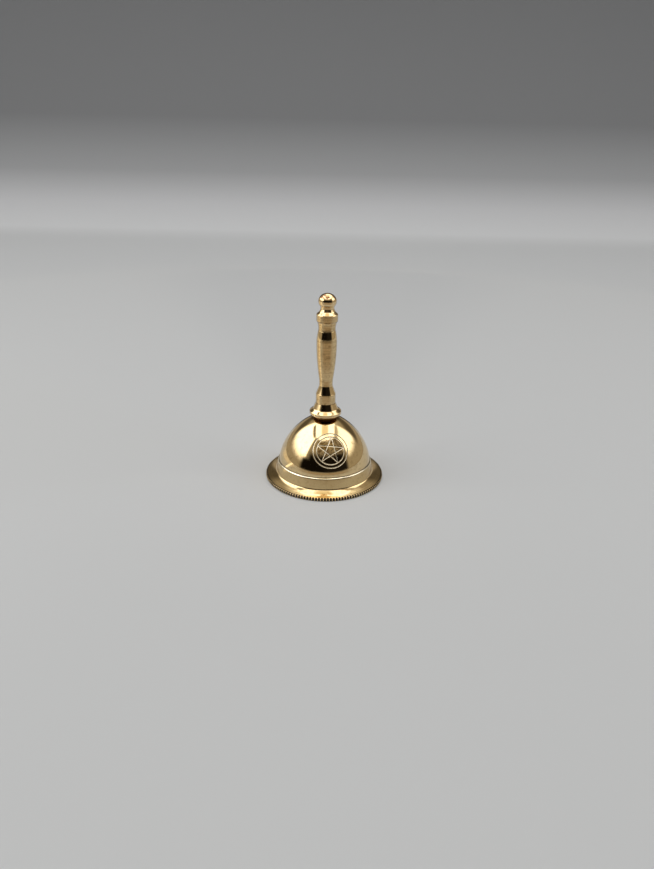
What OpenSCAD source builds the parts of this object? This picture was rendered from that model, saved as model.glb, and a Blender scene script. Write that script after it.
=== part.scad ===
// Small turned brass hand bell, standing on its mouth.
// Origin at the centre of the mouth plane, +Z up along the axis of the bell and its handle.
// The emblem is on the front, which faces -Y.

/* [Bell shell] */
// Radius over the milled edge of the mouth
mouth_r = 20.4; // [20:0.1:21]
// Height of the milled edge
edge_h = 0.95; // [0.8:0.05:1.1]
// Number of teeth round the milled edge
edge_teeth = 132; // [90:2:160]
// Depth of the milled teeth
edge_tooth_depth = 0.3; // [0.15:0.05:0.4]
// Radius of the band where the flared lip meets it
band_low_r = 16.8; // [16.5:0.1:17.2]
// Height of the band's lower edge
band_low_z = 2.3; // [2:0.1:2.6]
// Radius of the band at its upper edge
band_high_r = 16.1; // [15.9:0.1:16.4]
// Height of the band's upper edge
band_high_z = 6; // [5.7:0.1:6]
// Height of the crown, where the handle stands
crown_z = 21.7; // [21.5:0.1:22]
// Radius of the flat on the crown
crown_r = 3.8; // [3.6:0.1:4]
// Wall thickness of the dome
wall = 1.4; // [1.2:0.1:1.6]
// Thickness of the crown where it is clamped
crown_t = 1.5; // [1.4:0.1:1.8]
// Inner radius of the mouth
mouth_inner_r = 18.6; // [18:0.1:19]

/* [Emblem] */
// Radius of the outer engraved ring
ring_outer_r = 5.75; // [5:0.05:6]
// Radius of the inner engraved ring, which the star touches
ring_inner_r = 4.6; // [4:0.05:4.8]
// Height of the emblem's centre on the dome
emblem_z = 14.6; // [14:0.1:15]
// Angle from the front to the emblem, towards +X
emblem_azimuth = 9.5; // [-30:0.5:30]
// Clockwise turn of the star in its ring
star_turn = 7.5; // [0:0.5:36]
// Width of the engraved lines
line_w = 0.28; // [0.2:0.02:0.4]
// Depth of the engraved lines
line_depth = 0.12; // [0.08:0.01:0.2]

/* [Handle radii] */
// Foot flange
foot_r = 5.34; // [5.3:0.02:5.4]
// Short cylinder above the foot
bead_r = 3.27; // [3.15:0.02:3.4]
// Waist under the grip
waist_r = 2.2; // [2.1:0.05:2.3]
// Grip at its thickest
grip_r = 3.3; // [3.2:0.02:3.4]
// Throat between the grip and the collar
throat_r = 2.74; // [2.7:0.02:2.8]
// Collar under the ball
collar_r = 3.45; // [3.3:0.05:3.6]
// Neck between the collar and the ball
neck_r = 2.2; // [2.1:0.02:2.3]
// Ball at its thickest
ball_r = 2.9; // [2.8:0.05:3]
// Half the height of the ball
ball_half_h = 2.5; // [2.4:0.05:2.6]

/* [Handle heights above the mouth] */
// Lower edge of the foot's rim, over the recess
foot_low_z = 22.85; // [22.7:0.05:23]
// Edge between the foot's rim and its flare
foot_rim_z = 24; // [23.8:0.05:24.1]
// Edge between the foot's flare and the short cylinder
bead_z = 26.9; // [26.8:0.05:27]
// Top of the short cylinder
bead_top_z = 30.1; // [29.9:0.1:30.3]
// Lower end of the waist
waist_z = 33; // [32.8:0.1:33.4]
// Lower end of the grip
grip_z = 35; // [34.6:0.1:35.4]
// Grip at its thickest
grip_top_z = 47.5; // [47.2:0.1:47.8]
// Edge where the grip's shoulder meets the throat
throat_z = 51.5; // [51.3:0.05:51.7]
// Lower edge of the collar
collar_z = 54.7; // [54.5:0.1:54.9]
// Upper edge of the collar
collar_top_z = 56.75; // [56.6:0.05:56.9]
// Top of the whole bell
total_h = 63.5; // [63.3:0.1:64]
// Depth of the tapped socket in the foot
socket_depth = 8; // [6:0.5:10]

/* [Clapper hanging] */
// Radius of the eye bolt's thread, M3
bolt_r = 1.5; // [1.5]
// Clearance round the bolt in the crown and the washer
bolt_clearance = 0.1; // [0.05:0.05:0.15]
// Radius of the washer
washer_r = 3.5; // [3.2:0.1:3.6]
// Thickness of the washer
washer_t = 0.5; // [0.4:0.1:0.6]
// Width of the thin nut across its flats
nut_across_flats = 5.5; // [5.5]
// Height of the thin nut
nut_h = 1.8; // [1.8]
// Radius of the wire that forms the bolt's eye
eye_wire_r = 0.5; // [0.45:0.05:0.55]
// Radius of the bolt's eye at the middle of its wire
eye_r = 1.5; // [1.5:0.05:1.6]
// Radius of the wire of the link and of the clapper
wire_r = 0.4; // [0.35:0.05:0.4]
// Radius of the link at the middle of its wire
link_r = 1.5; // [1.45:0.05:1.55]
// Radius of the clapper's loop at the middle of its wire
loop_r = 1.3; // [1.3:0.05:1.4]
// Free play between one wire and the next
play = 0.05; // [0.03:0.01:0.06]
// Radius of the clapper ball
clapper_r = 3.8; // [3.4:0.1:3.8]
// Height of the clapper ball's lowest point at rest
clapper_ground = 1; // [1:0.1:1.4]

/* [Hidden] */
$fn = 96;
brass = "#c9a24a";
bright_brass = "#d9b45c";
steel = "#b9bcc0";
over = 1;
blank_r = mouth_r + 0.3;
ledge_r = band_high_r - 0.35;
ledge_z = band_high_z + 0.1;
crown_inner_z = crown_z - crown_t;
washer_z = crown_inner_z - washer_t;
nut_z = washer_z - nut_h;
bolt_end_z = nut_z - 0.3;
eye_z = bolt_end_z - eye_r - eye_wire_r + 0.35;
eye_low_z = eye_z - eye_r;
link_z = eye_low_z - (link_r - wire_r - eye_wire_r - play);
link_low_z = link_z - link_r;
loop_z = link_low_z - (loop_r - 2 * wire_r - play);
loop_low_z = loop_z - loop_r;
clapper_z = clapper_ground + clapper_r;
rivet_r = 0.75;
rivet_h = 0.3;
curve_steps = 24;

// The dome's outline from the ledge to the crown, as the four control points of one Bezier curve.
dome = [[ledge_r, ledge_z], [ledge_r - 0.5, 11.6], [crown_r + 6.8, crown_z - 3.15], [crown_r, crown_z]];

function bezier(p, t) =
    pow(1 - t, 3) * p[0] + 3 * t * pow(1 - t, 2) * p[1] + 3 * t * t * (1 - t) * p[2] + pow(t, 3) * p[3];

function bezier_slope(p, t) =
    3 * pow(1 - t, 2) * (p[1] - p[0]) + 6 * t * (1 - t) * (p[2] - p[1]) + 3 * t * t * (p[3] - p[2]);

// The outward normal of a curve that climbs towards the axis.
function bezier_normal(p, t) =
    let (s = bezier_slope(p, t)) [s[1], -s[0]] / norm(s);

function curve(p, steps = curve_steps) = [for (i = [0:steps]) bezier(p, i / steps)];

function inset_curve(p, depth) =
    [for (i = [0:curve_steps]) bezier(p, i / curve_steps) - depth * bezier_normal(p, i / curve_steps)];

// The place along a climbing curve where it reaches height z.
function curve_place(p, z, low = 0, high = 1, turns = 30) =
    let (middle = (low + high) / 2)
    turns == 0 ? middle :
    bezier(p, middle)[1] < z ? curve_place(p, z, middle, high, turns - 1) :
    curve_place(p, z, low, middle, turns - 1);

function ellipse_arc(r, half_h, z, from, to, steps = 20) =
    [for (i = [0:steps]) let (a = from + (to - from) * i / steps) [r * cos(a), z + half_h * sin(a)]];

module turned(points) {
    rotate_extrude() polygon(points);
}

module wire_ring(r, wire) {
    rotate([90, 0, 0]) rotate_extrude() translate([r, 0]) circle(r = wire, $fn = 32);
}

// ---- Bell shell ----

module shell_outside() {
    turned(concat(
        [[0, 0], [blank_r, 0]],
        curve([[blank_r, edge_h - 0.05], [19.2, 1.15], [17.9, 1.55], [band_low_r, band_low_z]], 8),
        [[band_high_r, band_high_z]],
        curve(dome),
        [[0, crown_z]]
    ));
}

module shell_inside() {
    intersection() {
        turned(concat(
            [[0, -over], [mouth_inner_r, -over], [mouth_inner_r, 0], [15.5, 1.9], [14.75, 3.6]],
            inset_curve(dome, wall),
            [[0, crown_z - wall]]
        ));
        translate([0, 0, -2 * over]) cylinder(r = mouth_r, h = crown_inner_z + 2 * over);
    }
}

// A prism with the outline of the milled edge, which trims the lip to its teeth.
module milled_outline() {
    pitch = 360 / edge_teeth;
    points = [for (i = [0:2 * edge_teeth - 1])
        let (a = i * pitch / 2, r = mouth_r - (i % 2) * edge_tooth_depth) [r * cos(a), r * sin(a)]];
    translate([0, 0, -over]) linear_extrude(crown_z + 2 * over) polygon(points);
}

module emblem_lines(depth) {
    for (r = [ring_outer_r, ring_inner_r])
        difference() {
            cylinder(r = r + line_w / 2, h = depth, center = true);
            cylinder(r = r - line_w / 2, h = depth + over, center = true);
        }
    chord = 2 * ring_inner_r * sin(72);
    for (i = [0:4])
        rotate([0, 0, 72 * i - star_turn])
            translate([0, ring_inner_r * cos(72), 0])
                cube([chord, line_w, depth], center = true);
}

// The engraving reaches line_depth under the dome's surface, wherever the surface is.
module emblem_groove() {
    place = curve_place(dome, emblem_z);
    spot = bezier(dome, place);
    lean = bezier_normal(dome, place);
    difference() {
        rotate([0, 0, emblem_azimuth])
            translate([0, -spot[0], spot[1]])
                rotate([90 - atan2(lean[1], lean[0]), 0, 0])
                    emblem_lines(9);
        turned(concat([[0, 0]], [[inset_curve(dome, line_depth)[0][0], 0]],
            inset_curve(dome, line_depth), [[0, crown_z - line_depth]]));
    }
}

module bell_shell() {
    color(brass)
    difference() {
        intersection() {
            shell_outside();
            milled_outline();
        }
        shell_inside();
        translate([0, 0, crown_inner_z - over])
            cylinder(r = bolt_r + bolt_clearance, h = crown_t + 2 * over);
        emblem_groove();
    }
}

// ---- Handle ----

// The foot: a narrow seat on the crown, a rim that overhangs it, and a hollow flare up to the short cylinder.
function foot_outline() =
    concat(
        [[0, crown_z], [crown_r, crown_z]],
        curve([[crown_r, foot_low_z - 0.4], [crown_r + 0.1, foot_low_z - 0.1],
            [crown_r + 0.6, foot_low_z - 0.05], [foot_r - 0.2, foot_low_z]], 6),
        [[foot_r, foot_low_z + 0.2], [foot_r, foot_rim_z - 0.1]],
        [[foot_r - 0.1, foot_rim_z]],
        curve([[4.42, 24.64], [4.26, 24.77], [4.16, 24.93], [4.08, 25.12]], 4),
        [[bead_r + 0.03, bead_z], [bead_r, bead_z + 0.06], [bead_r, bead_top_z]]
    );

// The cone above the short cylinder, the waist, the grip and its shoulder.
function grip_outline() =
    concat(
        curve([[bead_r - 0.04, bead_top_z + 0.06], [2.9, 30.95], [2.45, 32.1], [waist_r, waist_z]], 8),
        curve([[waist_r + 0.05, grip_z], [2.75, 38], [grip_r, 42.5], [grip_r, grip_top_z - 0.2]], 16),
        curve([[grip_r, grip_top_z + 0.2], [grip_r, 48.9], [3.13, 50.05], [throat_r + 0.08, throat_z]], 8)
    );

// The throat, the collar with its cone, and the ball.
function top_outline() =
    let (ball_z = total_h - ball_half_h, neck_angle = acos(neck_r / ball_r))
    concat(
        curve([[throat_r + 0.05, throat_z + 0.05], [throat_r - 0.04, 52.4], [throat_r, 53.1],
            [3.1, collar_z - 0.4]], 8),
        [[collar_r - 0.03, collar_z], [collar_r, collar_top_z]],
        [[collar_r - 0.1, collar_top_z + 0.2]],
        curve([[2.61, 57.62], [2.53, 57.69], [2.48, 57.77], [2.45, 57.9]], 4),
        [[neck_r + 0.02, 58.45], [neck_r, 58.6]],
        ellipse_arc(ball_r, ball_half_h, ball_z, -neck_angle, 90)
    );

module handle() {
    color(bright_brass)
    difference() {
        turned(concat(foot_outline(), grip_outline(), top_outline()));
        translate([0, 0, crown_z - over]) cylinder(r = bolt_r, h = socket_depth + over);
    }
}

// ---- Fasteners inside the crown ----

module eye_bolt() {
    color(steel) {
        translate([0, 0, bolt_end_z])
            cylinder(r = bolt_r, h = crown_z + socket_depth - 0.5 - bolt_end_z);
        translate([0, 0, eye_z]) wire_ring(eye_r, eye_wire_r);
    }
}

module washer() {
    color(bright_brass)
    translate([0, 0, washer_z])
    difference() {
        cylinder(r = washer_r, h = washer_t);
        translate([0, 0, -over]) cylinder(r = bolt_r + bolt_clearance, h = washer_t + 2 * over);
    }
}

module lock_nut() {
    corner_r = nut_across_flats / 2 / cos(30);
    chamfer = 0.35;
    color(steel)
    translate([0, 0, nut_z])
    difference() {
        intersection() {
            cylinder(r = corner_r, h = nut_h, $fn = 6);
            turned([[0, 0], [corner_r - chamfer, 0], [corner_r, chamfer * 0.6],
                [corner_r, nut_h - chamfer * 0.6], [corner_r - chamfer, nut_h], [0, nut_h]]);
        }
        translate([0, 0, -over]) cylinder(r = bolt_r, h = nut_h + 2 * over);
    }
}

// ---- Clapper ----

// The link hangs in the eye, square to it.
module link() {
    color(bright_brass)
    translate([0, 0, link_z]) rotate([0, 0, 90]) wire_ring(link_r, wire_r);
}

module clapper_wire() {
    color(steel) {
        translate([0, 0, loop_z]) wire_ring(loop_r, wire_r);
        translate([0, 0, clapper_ground + 0.25])
            cylinder(r = wire_r, h = loop_low_z - clapper_ground - 0.25, $fn = 32);
        translate([0, 0, clapper_ground + 0.05]) cylinder(r = rivet_r, h = rivet_h, $fn = 32);
    }
}

module clapper_ball() {
    color(brass)
    difference() {
        translate([0, 0, clapper_z]) sphere(r = clapper_r);
        translate([0, 0, clapper_ground - over]) cylinder(r = wire_r, h = 2 * clapper_r + 2 * over, $fn = 32);
        translate([0, 0, clapper_ground - over])
            cylinder(r = rivet_r, h = over + 0.05 + rivet_h, $fn = 32);
    }
}

bell_shell();
handle();
eye_bolt();
washer();
lock_nut();
link();
clapper_wire();
clapper_ball();
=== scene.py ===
import math

import bpy
import numpy as np
from mathutils import Matrix, Vector


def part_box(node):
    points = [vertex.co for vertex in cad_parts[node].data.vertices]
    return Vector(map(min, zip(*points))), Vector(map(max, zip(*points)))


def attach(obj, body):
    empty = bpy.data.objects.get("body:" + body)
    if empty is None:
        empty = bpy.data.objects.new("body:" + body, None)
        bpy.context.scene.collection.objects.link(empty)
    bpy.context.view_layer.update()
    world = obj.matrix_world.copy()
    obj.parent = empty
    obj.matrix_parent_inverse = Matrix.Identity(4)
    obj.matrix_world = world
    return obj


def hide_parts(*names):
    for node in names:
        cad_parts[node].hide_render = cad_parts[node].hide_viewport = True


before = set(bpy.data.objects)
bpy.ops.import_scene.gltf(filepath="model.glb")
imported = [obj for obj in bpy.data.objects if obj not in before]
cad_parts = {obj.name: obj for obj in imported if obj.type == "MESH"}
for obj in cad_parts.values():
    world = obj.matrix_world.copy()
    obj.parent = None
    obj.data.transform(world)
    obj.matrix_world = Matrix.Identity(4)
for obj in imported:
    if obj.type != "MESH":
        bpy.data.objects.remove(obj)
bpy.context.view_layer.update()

# Lengths are in millimetres until a mesh or a material is made, and angles in degrees. A point of an outline
# is (radius, height), and a colour is (red, green, blue).
MM = 0.001


def corners(node):
    """A node's lowest and highest corners."""
    low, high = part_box(node)
    return np.array(low) / MM, np.array(high) / MM


# ---- Sizes, from the frame where it gives them ----

SHELL_HIGH = corners("bell_shell")[1]
HANDLE_HIGH = corners("handle")[1]
BOLT_LOW, BOLT_HIGH = corners("eye_bolt")
WASHER_LOW, WASHER_HIGH = corners("washer")
NUT_LOW, NUT_HIGH = corners("lock_nut")
LINK_LOW, LINK_HIGH = corners("link")
HANGER_LOW, HANGER_HIGH = corners("clapper_wire")
BALL_LOW, BALL_HIGH = corners("clapper_ball")

MOUTH_R = SHELL_HIGH[0]
CROWN_Z = SHELL_HIGH[2]
TOP_Z = HANDLE_HIGH[2]

# The shell's outside: the milled edge, the lip, the band, the ledge and the dome.
EDGE_H = 0.95
TEETH = 132
TOOTH_DEPTH = 0.3
COLUMNS_PER_TOOTH = 8
BAND_LOW = (16.8, 2.3)
BAND_HIGH = (16.1, 6.0)
LEDGE = (15.75, 6.1)
CROWN_R = 3.8
LIP_CURVE = [(MOUTH_R + 0.3, EDGE_H - 0.05), (19.2, 1.15), (17.9, 1.55), BAND_LOW]
DOME_CURVE = [LEDGE, (15.25, 11.6), (10.6, 18.55), (CROWN_R, CROWN_Z)]

# The shell's inside: its wall, and its corners between the wall and the mouth.
WALL = 1.4
CROWN_THICKNESS = 1.5
CROWN_INNER_Z = CROWN_Z - CROWN_THICKNESS
INNER_FLARE = [(14.75, 3.6), (15.5, 1.9)]
MOUTH_INNER_R = 18.6

# The emblem: two rings round a five-pointed star, in engraved lines.
EMBLEM_Z = 14.6
EMBLEM_AZIMUTH = 9.5
EMBLEM_RINGS = (5.75, 4.6)
STAR_TURN = 7.5
LINE_W = 0.3
LINE_DEPTH = 0.12
LINE_SHOULDER = 0.1

# The handle, from below: the foot, the short cylinder, the waist, the shoulder, the throat and the collar.
FOOT_LOW_Z = 22.85
BEAD_R = 3.27
BEAD_LOW_Z = 26.9
BEAD_HIGH_Z = 30.1
WAIST_Z = 33.0
SHOULDER_Z = 47.7
THROAT_R = 2.74
THROAT_Z = 51.5
COLLAR_LOW_Z = 54.7
COLLAR_HIGH_Z = 56.75

# The bolt and its thread, which ends just under the nut.
BOLT_R = 1.5
CROWN_BORE_R = BOLT_R + 0.1
THREAD_PITCH = 0.5
THREAD_DEPTH = 0.27
THREAD_END_Z = NUT_LOW[2] - 0.3


# ---- Outlines: arrays of (radius, height), drawn upwards on the outside ----

def bezier(points, steps=240):
    a, b, c, d = (np.array(p, float) for p in points)
    t = np.linspace(0, 1, steps + 1)[:, None]
    return (1 - t) ** 3 * a + 3 * (1 - t) ** 2 * t * b + 3 * (1 - t) * t * t * c + t ** 3 * d


def line(*points):
    return np.array(points, float)


def ellipse(r, half_h, z, start, end, steps=120):
    """A part of an ellipse round (0, z), from one angle above the horizontal to another."""
    a = np.radians(np.linspace(start, end, steps + 1))
    return np.column_stack([r * np.cos(a), z + half_h * np.sin(a)])


def travel(path):
    """How far along a path each of its points is."""
    return np.r_[0, np.cumsum(np.linalg.norm(np.diff(path, axis=0), axis=1))]


def evenly(path, step, skip_start=0.0, skip_end=0.0):
    """Points along a path, a step or a little less apart."""
    s = travel(path)
    count = max(1, math.ceil((s[-1] - skip_start - skip_end) / step))
    at = np.linspace(skip_start, s[-1] - skip_end, count + 1)
    return np.column_stack([np.interp(at, s, path[:, k]) for k in range(path.shape[1])])


def fillet(start, corner, end, steps=4):
    t = np.linspace(0, 1, steps + 1)[1:-1, None]
    return (1 - t) ** 2 * start + 2 * (1 - t) * t * corner + t * t * end


def strokes_from(start, *stretches):
    """Strokes that follow each other, for outline(). A stretch is (way, step, rounding at its end), and its
    way is a curve or only the end point of a straight line."""
    strokes = []
    for way, step, rounding in stretches:
        path = np.array(way, float)
        if path.ndim == 1:
            path = line(start, path)
        strokes.append((path, step, rounding))
        start = path[-1]
    return strokes


def outline(strokes, closed=False):
    """Joins strokes of (path, step, rounding at its end) into one outline with rounded corners."""
    parts = []
    count = len(strokes)
    for i, (path, step, rounding) in enumerate(strokes):
        before = strokes[i - 1][2] if i or closed else 0.0
        after = rounding if i < count - 1 or closed else 0.0
        parts.append(evenly(path, step, before, after))
    joined = []
    for i, part in enumerate(parts):
        joined.append(part)
        if i < count - 1 or closed:
            joined.append(fillet(part[-1], strokes[i][0][-1], parts[(i + 1) % count][0]))
    return np.vstack(joined)


def outward(path, closed=False):
    """The outward normal at each point of an outline, exact for uneven spacing too."""
    steps = np.diff(np.vstack([path[-1:], path, path[:1]]), axis=0)
    size = np.linalg.norm(steps, axis=1)[:, None]
    way = steps / np.maximum(size, 1e-9)
    tangent = way[:-1] * size[1:] + way[1:] * size[:-1]
    if not closed:
        tangent[0], tangent[-1] = way[1], way[-2]
    tangent /= np.linalg.norm(tangent, axis=1)[:, None]
    return np.column_stack([tangent[:, 1], -tangent[:, 0]])


def inset(path, depth):
    return path - depth * outward(path)


# ---- Meshes ----

def even_columns(count):
    return np.arange(count) * 2 * math.pi / count


def ring(r, z, normal, columns):
    """One ring of a turned surface: its angles, points and normals. Radius and height may vary with the
    angle. Without a normal, the ring is shaded by its faces."""
    c, s = np.cos(columns), np.sin(columns)
    r, z = np.broadcast_to(r, c.shape), np.broadcast_to(z, c.shape)
    points = np.column_stack([r * c, r * s, z])
    if normal is None:
        return columns, points, np.zeros_like(points)
    return columns, points, np.column_stack([normal[0] * c, normal[0] * s, np.full_like(c, normal[1])])


def rings_of(path, columns, closed=False):
    """The rings of an outline. A point on the axis becomes a single vertex."""
    normals = outward(path, closed)
    return [ring(r, z, n, columns if r > 1e-6 else columns[:1]) for (r, z), n in zip(path, normals)]


def strip(first, a, b):
    """Faces between two rings, whatever their column counts, as indices into the whole mesh."""
    (start_a, angles_a), (start_b, angles_b) = first[a], first[b]
    n, m = len(angles_a), len(angles_b)
    turn_a, turn_b = np.append(angles_a, 2 * math.pi), np.append(angles_b, 2 * math.pi)
    if n == m and np.allclose(angles_a, angles_b):
        return [(start_a + i, start_a + (i + 1) % n, start_b + (i + 1) % n, start_b + i) for i in range(n)]
    faces = []
    i = j = 0
    limit_i, limit_j = (0 if n == 1 else n), (0 if m == 1 else m)
    while i < limit_i or j < limit_j:
        if j == limit_j or (i < limit_i and turn_a[i + 1] <= turn_b[j + 1] + 1e-9):
            faces.append((start_a + i, start_a + (i + 1) % n, start_b + j % m))
            i += 1
        else:
            faces.append((start_a + i % n, start_b + (j + 1) % m, start_b + j))
            j += 1
    return faces


def mesh_object(name, points, faces, normals=None, sharp=None):
    """An object with smooth faces. Edges steeper than sharp stay sharp."""
    mesh = bpy.data.meshes.new(name)
    mesh.from_pydata((np.asarray(points) * MM).tolist(), [], faces)
    mesh.shade_smooth()
    if sharp is not None:
        mesh.set_sharp_from_angle(angle=math.radians(sharp))
    if normals is not None:
        mesh.normals_split_custom_set_from_vertices(np.asarray(normals).tolist())
    piece = bpy.data.objects.new(name, mesh)
    bpy.context.scene.collection.objects.link(piece)
    return piece


def surface(name, rings, closed=False, sharp=None):
    """A mesh through rings in order, from the lowest outside ring round the outline.

    A ring may also say how deep each of its points is engraved, from 0 to 1, or lies between two teeth, from
    0 to -1. That becomes the attribute "cut"."""
    first, total = [], 0
    for columns, points, *_ in rings:
        first.append((total, columns))
        total += len(points)
    faces = []
    for i in range(len(rings) if closed else len(rings) - 1):
        faces += strip(first, i, (i + 1) % len(rings))
    points = np.vstack([r[1] for r in rings])
    normals = np.vstack([r[2] for r in rings])
    piece = mesh_object(name, points, faces, normals, sharp)
    cut = np.concatenate([r[3] if len(r) > 3 else np.zeros(len(r[1])) for r in rings])
    if cut.any():
        piece.data.attributes.new("cut", "FLOAT", "POINT").data.foreach_set("value", cut)
    return piece


def turned(name, path, columns=128, closed=False):
    return surface(name, rings_of(path, even_columns(columns), closed), closed)


def bent_wire(name, path, radius, side, columns=32, end_rounding=0.3):
    """A round wire along a path in one plane, whose normal is side, with slightly rounded ends."""
    tangent = np.gradient(path, axis=0)
    tangent /= np.linalg.norm(tangent, axis=1)[:, None]
    across = np.cross(tangent, side)
    a = even_columns(columns)
    bevel = 0.3 * end_rounding
    rims = []
    for end, inwards in ((0, 1), (-1, -1)):
        cap = [(1 - end_rounding, 0.0), (1 - bevel, bevel)]
        rims.append([(path[end] + inwards * drop * radius * tangent[end], grow, end) for grow, drop in cap])
    body = away_from_ends(path, end_rounding * radius)
    rows = [rims[0][0], rims[0][1]] + [(path[i], 1.0, i) for i in body] + [rims[1][1], rims[1][0]]
    points = [path[0]]
    for centre, grow, i in rows:
        circle = np.outer(np.cos(a), across[i]) + np.outer(np.sin(a), side)
        points += list(centre + radius * grow * circle)
    points.append(path[-1])
    faces = [(0, 1 + (k + 1) % columns, 1 + k) for k in range(columns)]
    for row in range(len(rows) - 1):
        at = 1 + row * columns
        faces += [(at + k, at + (k + 1) % columns, at + columns + (k + 1) % columns, at + columns + k)
                  for k in range(columns)]
    last = 1 + (len(rows) - 1) * columns
    faces += [(last + k, last + (k + 1) % columns, last + columns) for k in range(columns)]
    return mesh_object(name, points, faces, sharp=50)


def away_from_ends(path, margin):
    """Which points of a path are further than margin from both its ends."""
    s = travel(path)
    return [i for i in range(len(path)) if margin < s[i] < s[-1] - margin]


# ---- Bell shell ----

def emblem_axes():
    """Centre of the emblem on the dome, and its right, up and outward directions."""
    dome = bezier(DOME_CURVE)
    at = np.argmin(abs(dome[:, 1] - EMBLEM_Z))
    r, z = dome[at]
    lean = outward(dome)[at]
    a = math.radians(EMBLEM_AZIMUTH)
    front = np.array([math.sin(a), -math.cos(a), 0.0])
    right = np.array([math.cos(a), math.sin(a), 0.0])
    out = front * lean[0] + np.array([0, 0, lean[1]])
    return front * r + np.array([0, 0, z]), right, np.cross(out, right), out


def emblem_distance(u, v):
    """Distance from the middle of the nearest engraved line: two rings and a five-pointed star."""
    near = np.min([abs(np.hypot(u, v) - r) for r in EMBLEM_RINGS], axis=0)
    star_r = EMBLEM_RINGS[1]
    half_chord = star_r * math.sin(math.radians(72))
    for i in range(5):
        a = math.radians(72 * i - STAR_TURN)
        along = u * math.cos(a) + v * math.sin(a)
        across = -u * math.sin(a) + v * math.cos(a) - star_r * math.cos(math.radians(72))
        beyond = np.maximum(abs(along) - half_chord, 0)
        near = np.minimum(near, np.hypot(across, beyond))
    return near


def engrave(one_ring):
    """Cuts the emblem's lines into a ring of the dome. The lines are shaded by their faces."""
    columns, points, normals = one_ring
    centre, right, up, out = emblem_axes()
    offset = points - centre
    near = emblem_distance(offset @ right, offset @ up)
    on_far_side = offset @ out < -EMBLEM_RINGS[0]
    near[on_far_side] = MOUTH_R
    t = np.clip((LINE_W / 2 - near) / LINE_SHOULDER, 0, 1)
    depth = LINE_DEPTH * t * t * (3 - 2 * t)
    engraved = points - normals * depth[:, None]
    normals[near < LINE_W] = 0
    return columns, engraved, normals, t


def dome_columns():
    """Columns that are fine across the emblem and coarse elsewhere."""
    fine, coarse, half_width, blend = 0.34, 2.6, 29.0, 25.0
    centre = EMBLEM_AZIMUTH - 90
    angles = [0.0]
    while angles[-1] < 360:
        away = abs((angles[-1] - centre + 180) % 360 - 180)
        t = min(max((away - half_width) / blend, 0), 1)
        angles.append(angles[-1] + fine + (coarse - fine) * t * t)
    return np.radians(np.array(angles[:-1]) * 360 / angles[-1])


def milled_r(columns, cut_back=0.0):
    """Radius of the milled edge, which has plain triangular teeth."""
    place = columns / (2 * math.pi) * TEETH % 1.0
    notch = 2 * np.minimum(place, 1 - place)
    return MOUTH_R - cut_back - TOOTH_DEPTH * notch


def milled_edge(lip):
    """Rings of the milled edge, from the mouth plane up to the lip's top face, and the last ring's radius."""
    columns = even_columns(TEETH * COLUMNS_PER_TOOTH)
    chamfer, valley_width = 0.07, 0.7
    # How far into a valley between two teeth each column lies; the shell's material paints patina and shade
    # there.
    valley = ((MOUTH_R - milled_r(columns)) / TOOTH_DEPTH) ** valley_width
    by_r = lip[np.argsort(lip[:, 0])]

    def lip_z(r):
        return np.interp(r, by_r[:, 0], by_r[:, 1])

    rings = [ring(milled_r(columns, chamfer), 0, None, columns),
             ring(milled_r(columns), chamfer, None, columns)]
    for cut_back, drop in ((0, chamfer), (chamfer, 0)):
        r = milled_r(columns, cut_back)
        rings.append(ring(r, lip_z(r) - drop, None, columns))
    inner_r = MOUTH_R - TOOTH_DEPTH - 3 * chamfer
    rings.append(ring(inner_r, lip_z(inner_r), None, columns))
    return [r + (-valley,) for r in rings], inner_r


def dome_outline(dome):
    """The dome's outline, with fine steps across the emblem."""
    fine, coarse, margin = 0.08, 0.4, 0.35
    s = travel(dome)
    middle = s[np.argmin(abs(dome[:, 1] - EMBLEM_Z))]
    reach = EMBLEM_RINGS[0] + margin
    first, last = np.flatnonzero((s > middle - reach) & (s < middle + reach))[[0, -1]]
    return np.vstack([evenly(dome[:first + 1], coarse)[:-1],
                      evenly(dome[first:last + 1], fine),
                      evenly(dome[last:], coarse, 0, 0.1)[1:]])


def inner_wall():
    """The dome's inner wall, from the underside of the crown down."""
    wall = inset(bezier(DOME_CURVE), WALL)
    top = (np.interp(CROWN_INNER_Z, wall[:, 1], wall[:, 0]), CROWN_INNER_Z)
    return np.vstack([wall[wall[:, 1] < CROWN_INNER_Z], [top]])[::-1]


def shell_rings():
    """Rings from the mouth plane up the outside, over the crown and down the inside."""
    lip, dome = bezier(LIP_CURVE), bezier(DOME_CURVE)
    edge, lip_start = milled_edge(lip)
    lip = lip[lip[:, 0] < lip_start - 0.25]
    low_part = outline(strokes_from(None, (lip, 0.3, 0.25), (BAND_HIGH, 0.25, 0.2), (LEDGE, 0.1, 0.08),
                                    (dome, 0.5, 0)))
    low_part = low_part[low_part[:, 1] <= LEDGE[1] + 0.15]
    dome_part = dome_outline(dome[dome[:, 1] > low_part[-1, 1] + 0.03])
    normals = outward(np.vstack([low_part, dome_part]))
    lip_columns, emblem_columns = even_columns(TEETH * 2), dome_columns()
    rings = list(edge)
    for (r, z), normal in zip(low_part, normals):
        rings.append(ring(r, z, normal, lip_columns))
    for (r, z), normal in zip(dome_part, normals[len(low_part):]):
        rings.append(engrave(ring(r, z, normal, emblem_columns)))
    wall = inner_wall()
    inside = outline(strokes_from(
        dome_part[-1],
        ((CROWN_R, CROWN_Z), 1, 0.05),
        ((CROWN_BORE_R, CROWN_Z), 0.8, 0.1),
        ((CROWN_BORE_R, CROWN_INNER_Z), 0.7, 0.1),
        (wall[0], 0.6, 0.35),
        (wall, 0.35, 0.8),
        (line(wall[-1], *INNER_FLARE), 0.3, 0.5),
        ((MOUTH_INNER_R, 0), 0.3, 0.12),
        ((MOUTH_R - TOOTH_DEPTH - 0.2, 0), 0.4, 0)))[1:]
    return rings + rings_of(inside, even_columns(TEETH + 60))


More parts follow.
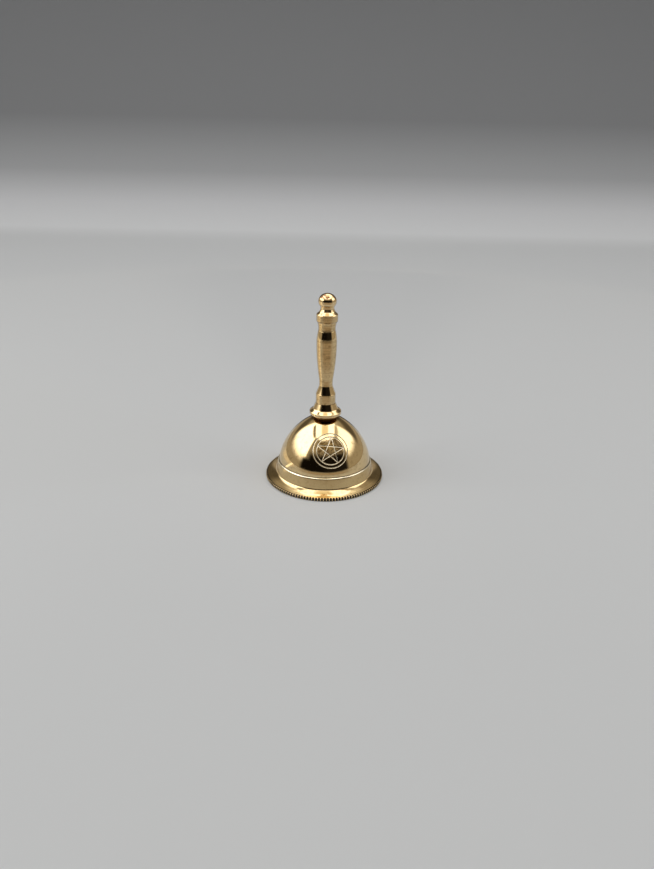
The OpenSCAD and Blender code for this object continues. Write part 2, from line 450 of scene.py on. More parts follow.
def bell_shell():
    return surface("turned_shell", shell_rings(), closed=True, sharp=40)


# ---- Handle ----

def foot_strokes():
    """The bolt's socket, the seat, the rim that overhangs it, the hollow flare and the short cylinder."""
    foot_r, rim_z, hollow = 5.34, 24.0, (4.22, 24.8)
    socket_depth = 8
    socket_top = CROWN_Z + socket_depth
    under = bezier([(CROWN_R, FOOT_LOW_Z - 0.4), (CROWN_R + 0.1, FOOT_LOW_Z - 0.1),
                    (CROWN_R + 0.6, FOOT_LOW_Z - 0.05), (foot_r - 0.2, FOOT_LOW_Z)])
    return strokes_from(
        (0, socket_top),
        ((BOLT_R, socket_top), 0.6, 0.1),
        ((BOLT_R, CROWN_Z), 1.0, 0.1),
        ((CROWN_R, CROWN_Z), 0.5, 0.05),
        (under[0], 0.2, 0.02),
        (under, 0.1, 0.03),
        ((foot_r, FOOT_LOW_Z + 0.2), 0.1, 0.06),
        ((foot_r, rim_z - 0.1), 0.15, 0.04),
        ((foot_r - 0.1, rim_z), 0.05, 0.04),
        (hollow, 0.1, 0.25),
        ((BEAD_R + 0.03, BEAD_LOW_Z), 0.1, 0.03),
        ((BEAD_R, BEAD_LOW_Z + 0.06), 0.03, 0.02),
        ((BEAD_R, BEAD_HIGH_Z), 0.2, 0.05))


def grip_strokes():
    """The cone above the short cylinder, the waist, the grip and its shoulder."""
    waist_r, grip_r, grip_z = 2.2, 3.3, 35.0
    cone = bezier([(BEAD_R - 0.04, BEAD_HIGH_Z + 0.06), (2.9, 30.95), (2.45, 32.1), (waist_r, WAIST_Z)])
    grip = bezier([(waist_r + 0.05, grip_z), (2.75, 38), (grip_r, 42.5), (grip_r, 47.3)])
    shoulder = bezier([(grip_r, SHOULDER_Z), (grip_r, 48.9), (3.13, 50.05), (THROAT_R + 0.08, THROAT_Z)])
    return strokes_from(
        (BEAD_R, BEAD_HIGH_Z),
        (cone[0], 0.03, 0.02),
        (cone, 0.1, 0.2),
        (grip[0], 0.2, 0.6),
        (grip, 0.2, 0.1),
        (shoulder[0], 0.1, 0.15),
        (shoulder, 0.12, 0.02),
        ((THROAT_R + 0.05, THROAT_Z + 0.05), 0.03, 0.02))


def top_strokes():
    """The throat, the collar with its cone, and the ball."""
    collar_r, hollow, neck = 3.45, (2.5, 57.73), (2.2, 58.55)
    knob_r, knob_half_h = 2.9, 2.5
    throat = bezier([(THROAT_R + 0.05, THROAT_Z + 0.05), (THROAT_R - 0.04, 52.4),
                     (THROAT_R, 53.1), (3.1, COLLAR_LOW_Z - 0.4)])
    knob_start = -math.degrees(math.acos(neck[0] / knob_r))
    knob = ellipse(knob_r, knob_half_h, TOP_Z - knob_half_h, knob_start, 90)
    return strokes_from(
        None,
        (throat, 0.15, 0.1),
        ((collar_r - 0.03, COLLAR_LOW_Z), 0.1, 0.06),
        ((collar_r, COLLAR_HIGH_Z), 0.15, 0.05),
        ((collar_r - 0.1, COLLAR_HIGH_Z + 0.2), 0.05, 0.03),
        (hollow, 0.1, 0.18),
        (neck, 0.1, 0.08),
        (knob[0], 0.1, 0.05),
        (knob, 0.12, 0))


def handle():
    return turned("turned_handle", outline(foot_strokes() + grip_strokes() + top_strokes()))


# ---- Fasteners inside the crown ----

def threaded_rod():
    """The bolt's shank with a real helical thread, chamfered at both ends."""
    columns = even_columns(48)
    low, high = THREAD_END_Z, BOLT_HIGH[2]
    rows_per_turn, chamfer, flank, clearance = 10, 0.25, 1.25, 0.01
    rows = math.ceil((high - low) / THREAD_PITCH * rows_per_turn)
    rings = [ring(0, low, (0, -1), columns[:1])]
    for z in np.linspace(low, high, rows + 1):
        phase = (z / THREAD_PITCH - columns / (2 * math.pi)) % 1.0
        groove = np.clip(flank * (1 - 2 * abs(phase - 0.5)), 0, 1)
        end = max(0, chamfer - (z - low)) + max(0, chamfer - (high - z))
        r = np.minimum(BOLT_R - clearance - THREAD_DEPTH * groove, BOLT_R - end)
        rings.append(ring(r, z, None, columns))
    rings.append(ring(0, high, (0, 1), columns[:1]))
    return surface("threaded_shank", rings, sharp=40)


def bolt_eye():
    """The bolt's lower end, drawn down to a wire that is bent round into an eye and stops beside its neck."""
    wire_r, eye_r = 0.5, 1.5
    centre = BOLT_LOW[2] + wire_r + eye_r
    a = np.radians(np.arange(90, -236, -3))
    path = np.column_stack([eye_r * np.cos(a), 0 * a, centre + eye_r * np.sin(a)])
    return bent_wire("bolt_eye", path, wire_r, np.array([0, 1.0, 0]))


def bolt_neck():
    """The cone between the bolt's thread and its eye."""
    tip_r, base_r, top, overlap = 0.45, 1.15, THREAD_END_Z, 0.1
    cone = bezier([(tip_r, top - 0.7), (0.6, top - 0.45), (0.8, top - 0.25), (base_r, top)])
    path = outline(strokes_from(
        (0, top - 0.75),
        (cone[0], 0.2, 0.1),
        (cone, 0.1, 0.04),
        ((base_r, top + overlap), 0.1, 0.03),
        ((0, top + overlap), 0.4, 0)))
    return turned("bolt_neck", path, 48)


def washer():
    low, high = WASHER_LOW[2], WASHER_HIGH[2]
    r = WASHER_HIGH[0]
    path = outline(strokes_from(
        (r, low),
        ((r, high), 0.12, 0.1),
        ((CROWN_BORE_R, high), 0.4, 0.06),
        ((CROWN_BORE_R, low), 0.15, 0.06),
        ((r, low), 0.4, 0.1)), closed=True)
    return turned("flat_washer", path, 96, closed=True)


def lock_nut():
    """A thin hexagon nut: flat sides, chamfered corners and a plain bore, countersunk at both ends."""
    columns = even_columns(144)
    across_flats, chamfer = 5.5, math.radians(24)
    corner_cut, land_margin, clearance, sink = 0.04, 0.12, 0.01, 0.2
    half_flats = across_flats / 2
    low, high = NUT_LOW[2], NUT_HIGH[2]
    half_side = math.pi / 6
    turn = (columns + half_side) % (2 * half_side) - half_side
    corner_r = half_flats / math.cos(half_side)
    flat_r = half_flats / np.cos(half_side - abs(turn))
    hexagon = np.minimum(flat_r, corner_r - corner_cut)
    land_r = half_flats - land_margin
    drop = (hexagon - land_r) * math.tan(chamfer)
    bore_r = BOLT_R + clearance
    rings = [ring(r, z, None, columns) for r, z in (
        (land_r, low), (hexagon, low + drop), (hexagon, (low + high) / 2), (hexagon, high - drop),
        (land_r, high), (bore_r + sink, high), (bore_r, high - sink), (bore_r, low + sink),
        (bore_r + sink, low))]
    return surface("hexagon_nut", rings, closed=True, sharp=20)


# ---- Clapper ----

def link_ring():
    """A wire ring whose ends meet at a narrow slit."""
    wire_r = LINK_HIGH[0]
    r = (LINK_HIGH[2] - LINK_LOW[2]) / 2 - wire_r
    centre = (LINK_HIGH[2] + LINK_LOW[2]) / 2
    half_slit = 4
    a = np.radians(np.linspace(half_slit, 360 - half_slit, 118))
    path = np.column_stack([0 * a, r * np.cos(a), centre + r * np.sin(a)])
    return bent_wire("split_link", path, wire_r, np.array([1.0, 0, 0]), end_rounding=0.15)


def clapper_hanger():
    """One wire: up from the ball, kinked aside, and round into a loop that stops beside the kink."""
    wire_r, loop_r = 0.4, 1.3
    centre = HANGER_HIGH[2] - wire_r - loop_r
    start, end = math.radians(-60), math.radians(236)
    join = np.array([loop_r * math.cos(start), centre + loop_r * math.sin(start)])
    heading = np.array([-math.sin(start), math.cos(start)])
    kink_h, bend, rod_steps = 0.75, 0.45, 40
    foot_z = centre - loop_r - kink_h
    kink = bezier([(0, foot_z), (0, foot_z + bend), join - bend * heading, join], 24)
    a = np.linspace(start, end, 100)[1:]
    loop = np.column_stack([loop_r * np.cos(a), centre + loop_r * np.sin(a)])
    rod_z = np.linspace(HANGER_LOW[2] + 0.1, foot_z, rod_steps + 1)[:-1]
    rod = np.column_stack([np.zeros(rod_steps), rod_z])
    flat = evenly(np.vstack([rod, kink, loop]), 0.09)
    path = np.column_stack([flat[:, 0], 0 * flat[:, 0], flat[:, 1]])
    return bent_wire("clapper_hanger", path, wire_r, np.array([0, 1.0, 0]))


def rivet_head():
    """The peened lower end of the clapper's wire, under the ball."""
    low, r, dome_h, head_h = HANGER_LOW[2], 0.75, 0.12, 0.3
    path = outline(strokes_from(
        None,
        (bezier([(0, low), (0.35, low), (0.62, low + 0.03), (r, low + dome_h)]), 0.06, 0.03),
        ((r, low + head_h), 0.1, 0.03),
        ((0, low + head_h), 0.3, 0)))
    return turned("peened_head", path, 48)


def clapper_ball():
    """A turned ball, drilled for its wire and counterbored for the peened head."""
    r = BALL_HIGH[0]
    z = (BALL_LOW[2] + BALL_HIGH[2]) / 2
    bore_r, recess_r, recess_z = 0.41, 0.77, HANGER_LOW[2] + 0.31
    bore_chamfer, recess_chamfer, recess_chamfer_h = 0.12, 0.08, 0.06
    top_angle = math.degrees(math.acos((bore_r + bore_chamfer) / r))
    low_angle = -math.degrees(math.acos((recess_r + recess_chamfer) / r))
    sphere = ellipse(r, r, z, low_angle, top_angle, 300)
    path = outline(strokes_from(
        None,
        (sphere, 0.2, 0.05),
        ((bore_r, sphere[-1][1] - bore_chamfer), 0.1, 0.03),
        ((bore_r, recess_z), 0.8, 0.05),
        ((recess_r, recess_z), 0.2, 0.03),
        ((recess_r, sphere[0][1] + recess_chamfer_h), 0.1, 0.03),
        (sphere[0], 0.1, 0.03)), closed=True)
    return turned("drilled_ball", path, closed=True)


# ---- Materials ----

# Two tones that both the shell and the handle show. The dark one is also painted as shade in the handle's
# grooves.
WORN = (0.36, 0.23, 0.09)
SPECK_AND_SHADE = (0.10, 0.05, 0.025)


class Nodes:
    """A short way to write a node tree."""

    def __init__(self, name):
        self.material = bpy.data.materials.new(name)
        self.material.use_nodes = True
        self.tree = self.material.node_tree
        self.shader = self.tree.nodes["Principled BSDF"]

    def add(self, kind, inputs=None, **settings):
        node = self.tree.nodes.new("ShaderNode" + kind)
        for key, value in settings.items():
            setattr(node, key, value)
        for key, value in (inputs or {}).items():
            self.put(node, key, value)
        return node

    def put(self, node, key, value):
        if isinstance(value, bpy.types.NodeSocket):
            self.tree.links.new(value, node.inputs[key])
        else:
            node.inputs[key].default_value = value

    def math(self, operation, *values):
        node = self.add("Math", operation=operation)
        for i, value in enumerate(values):
            self.put(node, i, value)
        return node.outputs[0]

    def spread(self, value, low, high, to_low=0.0, to_high=1.0):
        """A smooth step from to_low, where the value is low, to to_high, where it is high."""
        inputs = {0: value, 1: low, 2: high, 3: to_low, 4: to_high}
        return self.add("MapRange", inputs, interpolation_type="SMOOTHSTEP").outputs[0]

    def noise(self, vector, scale, detail=3.0, roughness=0.5):
        return self.add("TexNoise", {"Vector": vector, "Scale": scale, "Detail": detail,
                                     "Roughness": roughness}).outputs["Fac"]

    def mix(self, factor, a, b):
        """Between two colours, each a socket or numbers."""
        node = self.add("Mix", {0: factor}, data_type="RGBA")
        for index, colour in ((6, a), (7, b)):
            self.put(node, index, colour + (1,) if isinstance(colour, tuple) else colour)
        return node.outputs[2]

    def bump(self, height, strength, distance, under=None):
        node = self.add("Bump", {"Height": height, "Strength": strength, "Distance": distance * MM})
        if under is not None:
            self.put(node, "Normal", under)
        return node.outputs["Normal"]


def turning_coordinate(t, position):
    """A length that grows along the outline of a turned piece, so that its noise makes rings round the axis.
    The height and the radius come with it."""
    radius_share = 0.83
    xyz = t.add("SeparateXYZ", {0: position})
    r = t.math("SQRT", t.math("ADD", t.math("MULTIPLY", xyz.outputs[0], xyz.outputs[0]),
                              t.math("MULTIPLY", xyz.outputs[1], xyz.outputs[1])))
    along = t.math("SUBTRACT", xyz.outputs[2], t.math("MULTIPLY", r, radius_share))
    return along, xyz.outputs[2], r


def rings_noise(t, along, per_mm, detail=2.0):
    node = t.add("TexNoise", {"W": along, "Scale": per_mm / MM, "Detail": detail}, noise_dimensions="1D")
    return node.outputs["Fac"]


def brass(name, bright, dull, roughness, tool_marks, tarnish=0.3):
    """Turned brass: tool rings round the axis, faint wiping scratches, and a slightly duller tone in patches.
    Returns the node tree with its colour, roughness, height and radius, for a finish that adds to them."""
    t = Nodes(name)
    position = t.add("TexCoord").outputs["Object"]
    along, height, radius = turning_coordinate(t, position)
    fine = rings_noise(t, along, 9.0, 3.0)
    broad = rings_noise(t, along, 1.3)
    cloud = t.noise(position, 0.11 / MM, 5.0, 0.6)
    wiped = t.add("Mapping", {"Vector": position, "Scale": (1.0, 1.0, 7.0), "Rotation": (0.3, 0.2, 0.0)})
    scratches = t.noise(wiped.outputs[0], 1.6 / MM, 6.0, 0.75)
    patches = t.spread(cloud, 0.42, 0.72, 0.0, tarnish)
    tone = t.math("ADD", patches, t.math("MULTIPLY", t.spread(fine, 0.35, 0.7), 0.16))
    colour = t.mix(tone, bright, dull)
    t.put(t.shader, "Base Color", colour)
    t.shader.inputs["Metallic"].default_value = 1.0
    low, high = roughness
    worn = t.math("ADD", t.math("MULTIPLY", t.spread(scratches, 0.35, 0.75), 0.45),
                  t.math("MULTIPLY", broad, 0.55))
    rough = t.math("ADD", low, t.math("MULTIPLY", worn, high - low))
    t.put(t.shader, "Roughness", rough)
    marks = t.bump(fine, tool_marks, 0.004)
    t.put(t.shader, "Normal", t.bump(scratches, tool_marks * 0.35, 0.002, marks))
    return t, colour, rough, height, radius


def rise(t, coordinate, start, end, *levels):
    """From 0 to 1, or between levels, as a height or a radius goes from start to end."""
    return t.spread(coordinate, start * MM, end * MM, *levels)


def zone(t, coordinate, low, high, blend=0.15):
    """1 between two heights or radii, fading to 0 outside them."""
    return t.math("MULTIPLY", rise(t, coordinate, low - blend, low), rise(t, coordinate, high + blend, high))


def emblem_wear(t, position):
    """Mottled wear inside the star's ring."""
    away = t.add("VectorMath", {0: position, 1: emblem_axes()[0] * MM}, operation="DISTANCE").outputs["Value"]
    inside = rise(t, away, EMBLEM_RINGS[1], EMBLEM_RINGS[1] - 0.5)
    rubbed = t.spread(t.noise(position, 1.5 / MM, 5.0, 0.7), 0.42, 0.58, 0.0, 0.95)
    return t.math("MULTIPLY", inside, rubbed)


def line_edge_shade(t, cut):
    """Painted shade along both edges of an engraved line."""
    return t.math("MULTIPLY", t.spread(cut, 0.03, 0.15), t.spread(cut, 0.7, 0.4, 0.0, 0.75))


def ledge_crease_shade(t, height, radius):
    """Painted shade in the crease between the ledge and the dome, on the outside only."""
    return t.math("MULTIPLY", zone(t, height, LEDGE[1] + 0.05, LEDGE[1] + 0.23, 0.05),
                  rise(t, radius, LEDGE[0] - 0.8, LEDGE[0] - 0.5))


def crown_seat_shade(t, height, radius):
    """Painted shade on the dome round the handle's seat, under the foot."""
    seat = t.math("MULTIPLY", rise(t, height, CROWN_Z - 0.9, CROWN_Z - 0.2),
                  rise(t, radius, CROWN_R + 2.2, CROWN_R + 0.6))
    return t.math("MULTIPLY", seat, 0.85)


def lip_streaks(t, height, radius):
    """Dull turning rings on the lip's top face."""
    lip = rise(t, height, BAND_LOW[1], BAND_LOW[1] - 0.4)
    streaks = t.spread(rings_noise(t, radius, 2.6, 3.0), 0.42, 0.62)
    return t.math("MULTIPLY", lip, t.math("MULTIPLY", streaks, 0.45))


def shell_brass():
    """Mirror polished on the dome and lip, satin on the band, and dark in the creases and between teeth:
    painted shade in the creases, round the handle's seat and along the engraved lines, patina with painted
    shade between the teeth, and a painted highlight along the ledge's edge.
    """
    t, tone, rough, height, radius = brass("brass_polished_dome", (0.80, 0.615, 0.345), (0.66, 0.47, 0.22),
                                           (0.03, 0.09), 0.12)
    position = t.add("TexCoord").outputs["Object"]
    wear = t.noise(position, 0.75 / MM, 6.0, 0.7)
    cut = t.add("Attribute", attribute_name="cut").outputs["Fac"]
    engraved = t.spread(cut, 0.0, 1.0)
    # Between the teeth: patina, with painted shade over it.
    tooth_valley_patina_and_shade = t.spread(cut, -0.25, -0.55)
    band = zone(t, height, BAND_LOW[1] + 0.1, BAND_HIGH[1], 0.12)
    # A painted highlight along the ledge's edge.
    ledge_highlight = zone(t, height, BAND_HIGH[1] - 0.14, LEDGE[1] - 0.04, 0.06)
    blotch = t.math("MULTIPLY", t.spread(wear, 0.5, 0.66), rise(t, height, 19.0, 15.0, 0.12, 0.42))
    for mask, colour in (
            (blotch, WORN),
            (t.math("MULTIPLY", band, 0.4), (0.50, 0.34, 0.13)),
            (emblem_wear(t, position), (0.24, 0.14, 0.05)),
            (t.math("MULTIPLY", t.spread(wear, 0.69, 0.74), 0.85), SPECK_AND_SHADE),
            (engraved, (0.98, 0.92, 0.76)),
            # painted shade along the edges of the engraved lines
            (line_edge_shade(t, cut), (0.12, 0.07, 0.03)),
            # painted highlight along the ledge's edge
            (ledge_highlight, (0.95, 0.89, 0.72)),
            # painted shade in the crease above the ledge
            (ledge_crease_shade(t, height, radius), (0.03, 0.02, 0.012)),
            # painted shade under the handle's foot
            (crown_seat_shade(t, height, radius), (0.22, 0.12, 0.04)),
            (lip_streaks(t, height, radius), (0.46, 0.31, 0.14)),
            # patina and painted shade between the teeth
            (tooth_valley_patina_and_shade, (0.012, 0.006, 0.003))):
        tone = t.mix(mask, tone, colour)
    t.put(t.shader, "Base Color", tone)
    rough = t.math("ADD", rough, t.math("MULTIPLY", t.math("MAXIMUM", band, blotch), 0.12))
    t.put(t.shader, "Roughness", t.math("ADD", rough, t.math("MULTIPLY", engraved, 0.3)))
    return t.material


def handle_brass():
    """Satin on the cylinders and the grip, polished on the cones, with painted shade in the recess under the
    foot and in the grooves at the foot of the short cylinder and of the collar.
    """
    t, tone, rough, height, radius = brass("brass_turned_handle", (0.80, 0.605, 0.335), (0.62, 0.43, 0.20),
                                           (0.04, 0.10), 0.5)
    wear = t.noise(t.add("TexCoord").outputs["Object"], 1.1 / MM, 5.0, 0.7)
    lines = t.spread(rings_noise(t, height, 3.0, 2.0), 0.45, 0.65, 0.0, 0.45)
    mottle = t.spread(wear, 0.46, 0.64, 0.0, 0.7)
    speck = t.spread(wear, 0.66, 0.72, 0.0, 0.8)
    # Painted shade in the grooves at the foot of the short cylinder and of the collar.
    groove = t.math("ADD", zone(t, height, COLLAR_LOW_Z - 0.1, COLLAR_LOW_Z + 0.02, 0.06),
                    zone(t, height, BEAD_LOW_Z - 0.04, BEAD_LOW_Z + 0.08, 0.06))
    satin = t.math("ADD", zone(t, height, BEAD_LOW_Z + 0.1, BEAD_HIGH_Z - 0.1),
                   t.math("ADD", zone(t, height, WAIST_Z + 0.3, SHOULDER_Z + 1.0, 0.3),
                          zone(t, height, THROAT_Z + 0.1, COLLAR_HIGH_Z - 0.15)))
    tip = t.math("MULTIPLY", rise(t, height, TOP_Z - 1.9, TOP_Z - 1.1), t.spread(wear, 0.5, 0.6))
    # Painted shade in the recess under the foot.
    recess = t.math("MULTIPLY", rise(t, height, FOOT_LOW_Z + 0.2, FOOT_LOW_Z),
                    rise(t, radius, CROWN_R + 1.5, CROWN_R + 0.9))
    for mask, colour in (
            (t.math("MULTIPLY", satin, t.math("MAXIMUM", lines, mottle)), WORN),
            # real specks, and painted shade in the grooves
            (t.math("MAXIMUM", speck, t.math("MULTIPLY", groove, 0.7)), SPECK_AND_SHADE),
            (tip, (0.20, 0.055, 0.035)),
            # painted shade under the foot
            (recess, (0.11, 0.05, 0.013))):
        tone = t.mix(mask, tone, colour)
    t.put(t.shader, "Base Color", tone)
    t.put(t.shader, "Roughness", t.math("ADD", rough, t.math("MULTIPLY", satin, 0.14)))
    return t.material


def inner_brass():
    t, *_ = brass("brass_inner_parts", (0.74, 0.55, 0.29), (0.48, 0.33, 0.15), (0.14, 0.34), 0.5, 0.7)
    return t.material


def plated_steel():
    """Bright zinc plating with a fine crystal grain and a few dull spots."""
    t = Nodes("steel_zinc_plated")
    position = t.add("TexCoord").outputs["Object"]
    cloud = t.noise(position, 0.5 / MM, 4.0, 0.6)
    grain = t.noise(position, 6.0 / MM, 3.0, 0.7)
    tone = t.mix(t.spread(cloud, 0.4, 0.7), (0.62, 0.63, 0.65), (0.40, 0.40, 0.39))
    t.put(t.shader, "Base Color", tone)
    t.shader.inputs["Metallic"].default_value = 1.0
    t.put(t.shader, "Roughness", t.spread(grain, 0.3, 0.7, 0.22, 0.42))
    t.put(t.shader, "Normal", t.bump(grain, 0.3, 0.006))
    return t.material


# ---- Studio: floor and backdrop, lights, and cards that only reflections see ----

# The upright cards stand on spheres round this height, and the roof hangs flat over the bell.
CARD_CENTRE_Z = 20
ROOF_Z = 130


def backdrop_material():
    """A pale sweep, which gets darker as it climbs: painted light and shade, a little brighter low on the
    bend and darker up the wall, over a wall that is darker itself.
    """
    t = Nodes("pale_sweep_painted_shade")
    fade_height = 300
    position = t.add("TexCoord").outputs["Object"]
    height = t.add("SeparateXYZ", {0: position}).outputs[2]
    # Painted light and shade up the bend and the wall; the floor, at height 0, stays evenly pale.
    ramp = t.add("ValToRGB", {0: t.math("DIVIDE", height, fade_height * MM)})
    floor, top = (0.735, 0.745, 0.75), (0.26, 0.263, 0.27)
    for stop, colour in zip(ramp.color_ramp.elements, (floor, top)):
        stop.color = colour + (1,)
    for share, colour in ((0.02, (0.82, 0.83, 0.84)), (0.10, (0.70, 0.705, 0.72)),
                          (0.22, (0.43, 0.435, 0.445)), (0.45, top)):
        ramp.color_ramp.elements.new(share).color = colour + (1,)
    t.put(t.shader, "Base Color", ramp.outputs[0])
    t.shader.inputs["Roughness"].default_value = 0.7
    t.shader.inputs["Specular IOR Level"].default_value = 0.2
    return t.material


def sweep():
    """Floor and backdrop in one sheet, with a wide bend between them."""
    near, bend_y, bend_r, top, half_width = -3000, 560, 300, 2200, 3000
    a = np.radians(np.linspace(-90, 0, 33))
    bend = np.column_stack([bend_y + bend_r * np.cos(a), bend_r + bend_r * np.sin(a)])
    profile = np.vstack([[(near, 0)], bend, [(bend_y + bend_r, top)]])
    points = [(x, y, z) for y, z in profile for x in (-half_width, half_width)]
    faces = [(2 * i, 2 * i + 1, 2 * i + 3, 2 * i + 2) for i in range(len(profile) - 1)]
    floor = mesh_object("studio_sweep", points, faces)
    floor.data.materials.append(backdrop_material())


def card_material(name, glow, fade):
    """An even glow. It fades out over these shares of the card from its left, right, lower and upper edge."""
    t = Nodes(name)
    across, up, _ = t.add("SeparateXYZ", {0: t.add("TexCoord").outputs["UV"]}).outputs
    edges = (across, t.math("SUBTRACT", 1.0, across), up, t.math("SUBTRACT", 1.0, up))
    shown = 1.0
    for inwards, width in zip(edges, fade):
        if width:
            shown = t.math("MULTIPLY", shown, t.spread(inwards, 0.0, width))
    light = t.add("Emission", {"Color": glow + (1,), "Strength": 1.0})
    clear = t.add("BsdfTransparent")
    both = t.add("MixShader", {0: shown, 1: clear.outputs[0], 2: light.outputs[0]})
    t.tree.links.new(both.outputs[0], t.tree.nodes["Material Output"].inputs["Surface"])
    return t.material


def between(ends, share):
    return ends[0] + (ends[1] - ends[0]) * share


def card_grid(name, place_at, glow, fade):
    """A glowing card that only reflections see. place_at gives its point at each share across and up it."""
    columns, rows = 36, 12
    uv = [(i / columns, j / rows) for j in range(rows + 1) for i in range(columns + 1)]
    faces = []
    for j in range(rows):
        for i in range(columns):
            at = j * (columns + 1) + i
            faces.append((at, at + 1, at + columns + 2, at + columns + 1))
    piece = mesh_object(name, [place_at(*share) for share in uv], faces)
    layer = piece.data.uv_layers.new(name="UVMap")
    for loop in piece.data.loops:
        layer.data[loop.index].uv = uv[loop.vertex_index]
    piece.data.materials.append(card_material(name, glow, fade))
    for ray in ("camera", "diffuse", "transmission", "volume_scatter", "shadow"):
        setattr(piece, "visible_" + ray, False)


def card(name, azimuths, elevations, glow, fade, radius):
    """A part of a sphere round the bell. Azimuth 0 is the front and +90 is +X."""
    def place_at(across, up):
        a, e = math.radians(between(azimuths, across)), math.radians(between(elevations, up))
        flat = radius * math.cos(e)
        return flat * math.sin(a), -flat * math.cos(a), CARD_CENTRE_Z + radius * math.sin(e)
    card_grid(name, place_at, glow, fade)


def floor_card(name, azimuths, radii, glow, fade, height):
    """A part of a flat ring round the axis, just above the floor or over the bell."""
    def place_at(across, out):
        a, r = math.radians(between(azimuths, across)), between(radii, out)
        return r * math.sin(a), -r * math.cos(a), height
    card_grid(name, place_at, glow, fade)


def roof_strip(name, across_x, glow):
    """A strip just under the roof, from front to back."""
    along_y = (-50, 34)

    def place_at(across, along):
        return between(across_x, across), between(along_y, along), ROOF_Z - 1
    card_grid(name, place_at, glow, (0.25, 0.25, 0.2, 0.2))


def cards():
    """The photograph's surroundings: white walls left, right and overhead, and a dark opening in front. Where
    two overlap, the one that is closer to the bell shows."""
    white = (3.0, 2.95, 2.85)
    tan = (0.38, 0.34, 0.27)
    dim = (0.03, 0.025, 0.02)
    dark = (0.006, 0.005, 0.004)
    card("card_surround", (-180, 180), (-3, 90), tan, (0, 0, 0, 0), 420)
    card("card_back", (112, 248), (6, 40), (0.11, 0.095, 0.07), (0.12, 0.12, 0.25, 0.4), 416)
    card("card_back_high", (118, 242), (42, 90), (1.4, 1.35, 1.2), (0.2, 0.2, 0.4, 0), 412)
    card("card_top", (-115, 118), (66, 90), (2.2, 2.2, 2.2), (0.12, 0.12, 0.35, 0), 408)
    card("card_left", (-134, -51), (8, 66), white, (0.16, 0.08, 0.36, 0.2), 404)
    card("card_right", (66, 126), (14, 60), (2.3, 2.25, 2.15), (0.15, 0.2, 0.35, 0.2), 400)
    card("card_front_mid", (-40, 50), (42, 60), (0.42, 0.35, 0.22), (0.3, 0.3, 0.3, 0.3), 398)
    card("card_front_dark", (-54, 62), (-3, 40), dark, (0.14, 0.2, 0.08, 0.28), 396)
    card("card_front_low", (-68, -20), (-3, 26), dark, (0.25, 0.2, 0.1, 0.3), 394)
    card("card_front_dim", (-8, 66), (-3, 34), (0.014, 0.012, 0.010), (0.25, 0.15, 0.1, 0.2), 392)
    card("card_back_edge", (158, 202), (-3, 40), dim, (0.3, 0.3, 0.1, 0.3), 388)
    floor_card("card_floor_near", (-80, 86), (42, 400), (0.38, 0.32, 0.245), (0.35, 0.35, 0.12, 0), 0.3)
    floor_card("card_floor_far", (-56, 66), (290, 400), (0.06, 0.05, 0.04), (0.1, 0.1, 0.3, 0), 0.5)
    floor_card("card_floor_back", (152, 208), (22, 400), dim, (0.3, 0.3, 0.02, 0), 0.5)
    floor_card("card_floor_left", (-134, -66), (42, 400), (0.80, 0.72, 0.58), (0.3, 0.3, 0.1, 0), 0.4)
    floor_card("card_roof", (-180, 180), (0, 74), (2.3, 2.3, 2.3), (0, 0, 0, 0.16), ROOF_Z)
    roof_strip("card_roof_middle", (-25, 24), (1.2, 1.08, 0.80))
    roof_strip("card_roof_left", (-72, -50), (0.35, 0.32, 0.26))
    roof_strip("card_roof_right", (52, 72), (0.65, 0.58, 0.46))
    floor_card("card_floor_streak", (-88, -80), (30, 400), (1.7, 1.6, 1.4), (0.3, 0.3, 0, 0), 0.6)


def softbox(name, position, size, power, aim=(0, 0, 15)):
    """A square light, which reflections don't see."""
    light = bpy.data.lights.new(name, "AREA")
    light.shape = "SQUARE"
    light.size = size * MM
    light.energy = power
    piece = bpy.data.objects.new(name, light)
    bpy.context.scene.collection.objects.link(piece)
    piece.location = Vector(position) * MM
    piece.rotation_euler = (Vector(aim) - Vector(position)).to_track_quat("-Z", "Y").to_euler()
    piece.visible_camera = False
    piece.visible_glossy = False


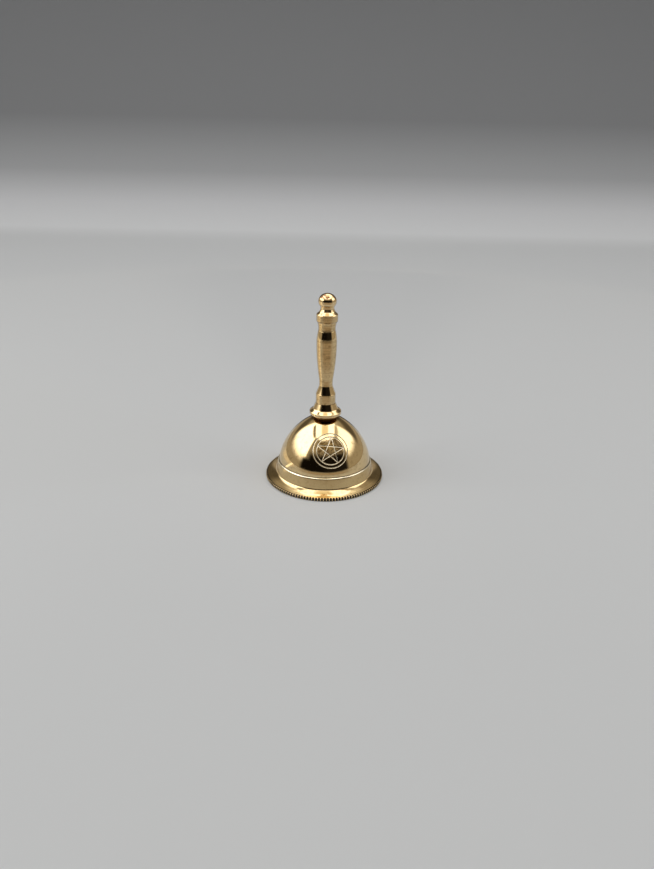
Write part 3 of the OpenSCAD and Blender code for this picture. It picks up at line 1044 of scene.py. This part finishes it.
def lights():
    softbox("softbox_top", (0, 350, 1500), 1800, 13.0, (0, 350, 0))
    softbox("softbox_left", (-900, -200, 700), 700, 2.6)
    softbox("softbox_right", (900, -200, 700), 700, 1.8)
    world = bpy.data.worlds.new("studio_world")
    bpy.context.scene.world = world
    world.use_nodes = True
    background = world.node_tree.nodes["Background"]
    background.inputs["Color"].default_value = (0.30, 0.29, 0.27, 1)
    background.inputs["Strength"].default_value = 0.6


# ---- Camera ----

def camera():
    """The photograph's view: a short lens, looking down at the front, rolled a little."""
    pitch, roll, distance = math.radians(24.26), math.radians(1.2), 230.6
    aim_right, aim_up = 0.99, 13.52
    focal_length, sensor_side = 27.01, 36
    forward = Vector((0, math.cos(pitch), -math.sin(pitch)))
    level_up = Vector((0, math.sin(pitch), math.cos(pitch)))
    level_right = Vector((1, 0, 0))
    right = level_right * math.cos(roll) + level_up * math.sin(roll)
    up = level_up * math.cos(roll) - level_right * math.sin(roll)
    stand = (right * aim_right + up * aim_up - forward * distance) * MM
    data = bpy.data.cameras.new("camera")
    data.lens = focal_length
    data.sensor_width = sensor_side
    data.clip_start = 0.005
    data.clip_end = 20
    piece = bpy.data.objects.new("camera", data)
    bpy.context.scene.collection.objects.link(piece)
    turn = Matrix((right, up, -forward)).transposed()
    piece.matrix_world = Matrix.Translation(stand) @ turn.to_4x4()
    bpy.context.scene.camera = piece


# ---- Assembly ----

def add_piece(piece, node, body, material):
    """Gives a piece its material and the body that it moves with, and hides the CAD node that it stands for.
    """
    piece.data.materials.append(material)
    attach(piece, body)
    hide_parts(node)


camera()
sweep()
lights()
cards()

inner_finish, steel = inner_brass(), plated_steel()
add_piece(bell_shell(), "bell_shell", "bell", shell_brass())
add_piece(handle(), "handle", "bell", handle_brass())
add_piece(threaded_rod(), "eye_bolt", "bell", steel)
add_piece(bolt_neck(), "eye_bolt", "bell", steel)
add_piece(bolt_eye(), "eye_bolt", "bell", steel)
add_piece(washer(), "washer", "bell", inner_finish)
add_piece(lock_nut(), "lock_nut", "bell", steel)
add_piece(link_ring(), "link", "link", inner_finish)
add_piece(clapper_hanger(), "clapper_wire", "clapper", steel)
add_piece(rivet_head(), "clapper_wire", "clapper", steel)
add_piece(clapper_ball(), "clapper_ball", "clapper", inner_finish)

bpy.context.scene.view_settings.view_transform = "Standard"
